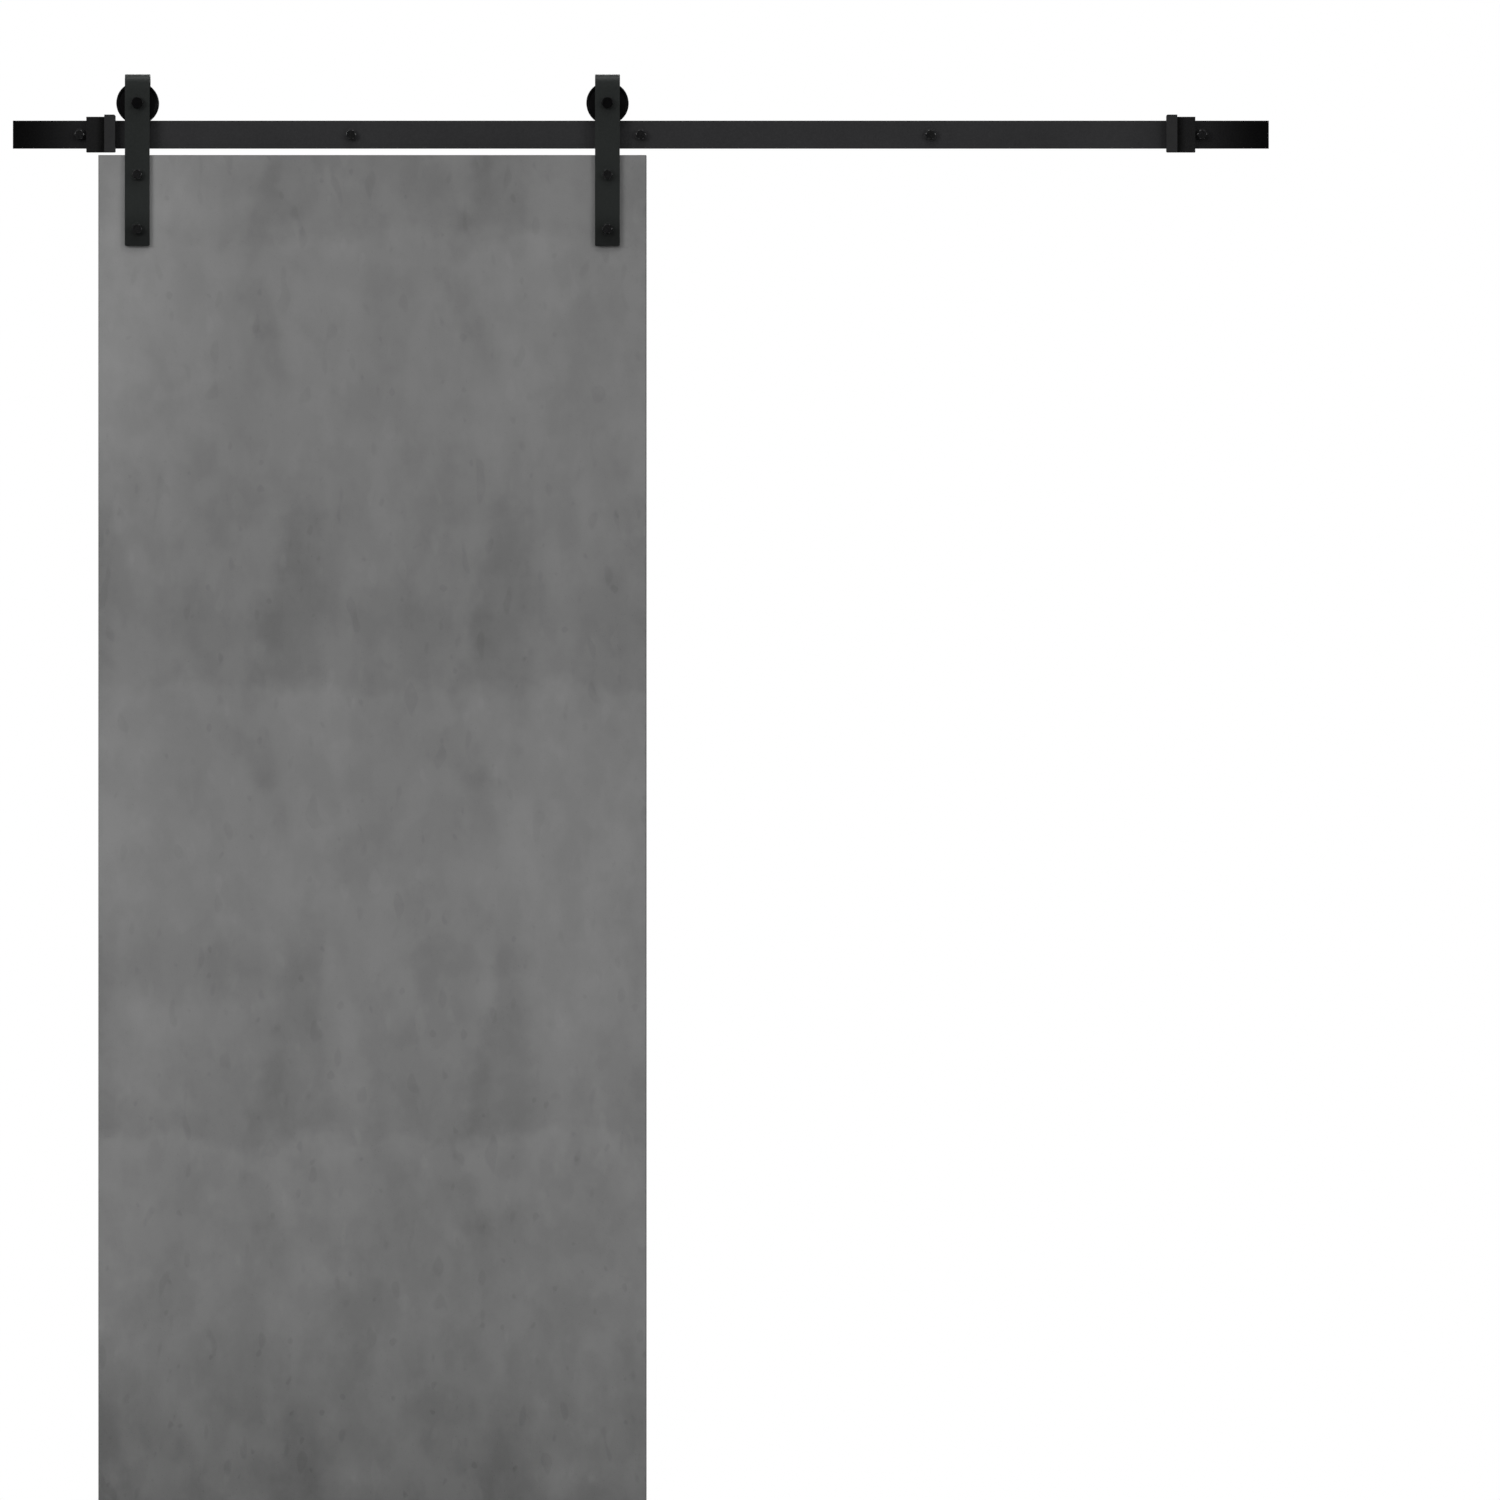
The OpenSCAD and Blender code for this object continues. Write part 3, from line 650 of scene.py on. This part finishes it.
class Thread:
    """A ridge that winds round a core from start to end, and tapers over its point."""

    def __init__(self, start, end, pitch, crest_r, root_r, tip_r, point, crest, flank):
        self.start = start
        self.end = end
        self.pitch = pitch
        self.crest_r = crest_r
        self.root_r = root_r
        self.tip_r = tip_r
        self.point = point   # length that tapers
        self.crest = crest   # width of half a crest, in half pitches
        self.flank = flank   # and of a flank

    def radius(self, y, angle):
        taper = min(1.0, max(0.0, (self.end - y) / self.point))
        crest_r = self.tip_r + (self.crest_r - self.tip_r) * taper
        root_r = self.tip_r + (self.root_r - self.tip_r) * taper
        turn = (y - self.start) / self.pitch
        off_crest = 2 * abs((turn - angle / TURN) % 1.0 - 0.5)
        height = min(1.0, max(0.0, (self.crest + self.flank - off_crest) / self.flank))
        run_out = max(0.0, 1.0 - turn)
        return max(root_r + (crest_r - root_r) * height, crest_r * run_out)

    def rings(self):
        """The threaded stretch as rings, each a list of (radius, y)."""
        count = round((self.end - self.start) / self.pitch * RINGS_PER_TURN)
        result = []
        for k in range(count + 1):
            y = self.start + (self.end - self.start) * k / count
            result.append([(self.radius(y, TURN * j / COLUMNS), y) for j in range(COLUMNS)])
        return result


def hex_radius(half_flats, angle):
    """From the middle of a hexagonal head to its side, with a corner at angle 0."""
    to_flat = TURN / 12
    return half_flats / math.cos((angle % (2 * to_flat)) - to_flat)


def head_rings(half_flats, end_y, bearing_y):
    """A hexagonal head as rings, from inside its end to its bearing face."""
    end_r = HEAD_FLAT * half_flats
    radii = [hex_radius(half_flats, TURN * j / COLUMNS) for j in range(COLUMNS)]
    end = [[(share * end_r, end_y)] * COLUMNS for share in (HEAD_MARGIN, 1.0)]
    chamfer = [(r, end_y + (r - end_r) * HEAD_CHAMFER) for r in radii]
    return end + [chamfer, [(r, bearing_y) for r in radii]]


def add_row(mesh, x, z, ring):
    """The vertices of a ring round the axis at x and z."""
    row = []
    for j, (r, y) in enumerate(ring):
        angle = TURN * j / COLUMNS
        row.append(mesh.verts.new((x + r * math.cos(angle), y, z + r * math.sin(angle))))
    return row


def add_skin(mesh, rows):
    """Faces between the rows, and one at each end."""
    for first, second in zip(rows, rows[1:]):
        for j in range(COLUMNS):
            k = (j + 1) % COLUMNS
            mesh.faces.new((first[j], first[k], second[k], second[j]))
    mesh.faces.new(rows[0])
    mesh.faces.new(rows[-1])
    bmesh.ops.recalc_face_normals(mesh, faces=mesh.faces)


def mark_head_edges(mesh, bearing_y):
    """Picks the head's sharp edges for the bevel."""
    weight = mesh.edges.layers.float.new("bevel_weight_edge")
    for edge in mesh.edges:
        on_head = max(v.co.y for v in edge.verts) <= bearing_y + WELD
        edge[weight] = float(on_head and edge.calc_face_angle() > EDGE_ANGLE)


def bolt_mesh(name, x, z, rings, bearing_y):
    """One closed skin over the rings."""
    mesh = bmesh.new()
    add_skin(mesh, [add_row(mesh, x, z, ring) for ring in rings])
    mark_head_edges(mesh, bearing_y)
    data = bpy.data.meshes.new(name)
    mesh.to_mesh(data)
    mesh.free()
    data.shade_smooth()
    return data


def add_bolt(name, x, z, head, thread, material):
    """A bolt along Y. head is half its width across flats, its end's y and its bearing face's y."""
    bearing_y = head[2]
    shank = [[(thread.crest_r, y)] * COLUMNS for y in (bearing_y, thread.start - thread.pitch / 2)]
    data = bolt_mesh(name, x, z, head_rings(*head) + shank + thread.rings(), bearing_y)
    data.materials.append(material)
    bolt = bpy.data.objects.new(name, data)
    bpy.context.scene.collection.objects.link(bolt)
    add_bevel(bolt, PLATE_EDGE, segments=2, chosen_by="WEIGHT")
    add_normals(bolt, bevelled=True)
    return bolt


def axis_of(name):
    """x and z of a node whose axis runs along Y."""
    low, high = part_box(name)
    return (low.x + high.x) / 2, (low.z + high.z) / 2


def add_lag_bolts():
    low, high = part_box("rail_bolts")
    head = ((high.z - low.z) / 2, low.y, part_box("rail_washers")[0].y)
    thread = Thread(LAG_START, high.y, **LAG_THREAD)
    for number in SPACERS:
        x, z = axis_of(f"rail_spacer_{number}")
        bolt = add_bolt(f"rail_lag_bolt_{number}", x, z, head, thread, fastener)
        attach(bolt, "track")
        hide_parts("rail_bolts")


def add_axle_bolts():
    """M10, with a chamfered end that stands out of the nut."""
    for side in SIDES:
        low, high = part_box(f"{side}_axle")
        head = ((high.z - low.z) / 2, low.y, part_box(f"{side}_strap")[0].y)
        nut_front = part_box(f"{side}_axle_nut")[0].y
        thread = Thread(nut_front - NUT_LEAD, high.y, **M10_THREAD)
        x, z = axis_of(f"{side}_axle")
        bolt = add_bolt(f"{side}_axle_bolt", x, z, head, thread, axle_black)
        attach(bolt, "door")
        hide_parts(f"{side}_axle")


add_lag_bolts()
add_axle_bolts()


# ---- Floor, light and camera ----

VIEW_WIDTH = 2.365           # of what the camera sees, at the slab
VIEW_CENTRE = Vector((0.1722, -0.05, -0.9708))
LENS = 300.0
SENSOR = 36.0
VIEW_END = 100.0             # how far the camera sees
FLOOR_GAP = 0.012            # under the slab
FLOOR_LOW = (-2.4, -2.2)
FLOOR_HIGH = (2.4, 0.33)
FLOOR_FADE = 0.12            # of its width and depth, along each edge
SKY_LOW = 0.05               # the sky's strength at the horizon
SKY_HIGH = 0.8               # and overhead
SKY_RISE = (-0.1, 0.9)       # upward shares of a direction between which it grows
# Each light's name, place, target, width and height, and power
LIGHTS = (
    ("key", (-5.0, -3.6, 2.0), (-0.4, 0, -0.9), (2.4, 2.4), 235),
    ("fill", (5.2, -3.8, 1.2), (0, 0, -1.0), (2.6, 2.6), 165),
    ("top", (-0.2, -1.6, 3.6), (-0.2, 0, -0.3), (3.2, 1.2), 75),
    ("back", (0.5, 3.5, 1.5), (0, 0, -0.8), (3.0, 2.0), 120),
)


def floor_look():
    """Matt white that fades out towards the floor's edges."""
    look = Look("look_floor", roughness=0.85, specular=0.1)
    grain = look.noise(0.25, detail=3.0)
    look.colour(FLOOR_WHITE, look.total(1.0, (grain, 0.015)))
    shares = []
    for letter, low, high in zip("XY", FLOOR_LOW, FLOOR_HIGH):
        along = look.axis(letter)
        fade = FLOOR_FADE * (high - low)
        shares.append(look.span(along, low, low + fade, 0.0, 1.0, smooth=True))
        shares.append(look.span(along, high, high - fade, 0.0, 1.0, smooth=True))
    look.feed(look.shader.inputs["Alpha"], look.product(*shares))
    return look.material


def add_floor():
    z = slab_low.z - FLOOR_GAP
    x0, y0 = FLOOR_LOW
    x1, y1 = FLOOR_HIGH
    mesh = bpy.data.meshes.new("floor")
    mesh.from_pydata([(x0, y0, z), (x1, y0, z), (x1, y1, z), (x0, y1, z)], [], [(0, 1, 2, 3)])
    mesh.materials.append(floor_look())
    floor = bpy.data.objects.new("floor", mesh)
    bpy.context.scene.collection.objects.link(floor)


def add_light(name, place, target, size, power):
    """A soft light that the camera doesn't see."""
    data = bpy.data.lights.new(name, "AREA")
    data.shape = "RECTANGLE"
    data.size, data.size_y = size
    data.energy = power
    light = bpy.data.objects.new(name, data)
    light.location = place
    light.rotation_euler = (Vector(target) - Vector(place)).to_track_quat("-Z", "Y").to_euler()
    light.visible_camera = False
    bpy.context.scene.collection.objects.link(light)


def add_world():
    """White behind the object, and a dimmer sky that is brightest overhead as its light."""
    world = bpy.data.worlds.new("studio")
    bpy.context.scene.world = world
    world.use_nodes = True
    tree = world.node_tree
    background = tree.nodes["Background"]
    coordinates = tree.nodes.new("ShaderNodeTexCoord")
    split = tree.nodes.new("ShaderNodeSeparateXYZ")
    tree.links.new(coordinates.outputs["Generated"], split.inputs[0])
    sky = tree.nodes.new("ShaderNodeMapRange")
    sky.interpolation_type = "SMOOTHSTEP"
    for socket, value in zip(sky.inputs[1:5], (*SKY_RISE, SKY_LOW, SKY_HIGH)):
        socket.default_value = value
    tree.links.new(split.outputs["Z"], sky.inputs[0])
    path = tree.nodes.new("ShaderNodeLightPath")
    pick = tree.nodes.new("ShaderNodeMix")
    tree.links.new(path.outputs["Is Camera Ray"], pick.inputs[0])
    tree.links.new(sky.outputs[0], pick.inputs[2])
    pick.inputs[3].default_value = 1.0
    tree.links.new(pick.outputs[0], background.inputs["Strength"])
    background.inputs["Color"].default_value = (1, 1, 1, 1)


def add_camera():
    """Looks along Y from so far off that the view is nearly without perspective."""
    data = bpy.data.cameras.new("camera")
    data.lens = LENS
    data.sensor_width = SENSOR
    data.clip_end = VIEW_END
    distance = VIEW_WIDTH * LENS / SENSOR
    camera = bpy.data.objects.new("camera", data)
    camera.location = VIEW_CENTRE - Vector((0, distance, 0))
    camera.rotation_euler = (math.pi / 2, 0, 0)
    bpy.context.scene.collection.objects.link(camera)
    bpy.context.scene.camera = camera


add_floor()
add_world()
for light in LIGHTS:
    add_light(*light)
add_camera()
bpy.context.scene.view_settings.view_transform = "Standard"
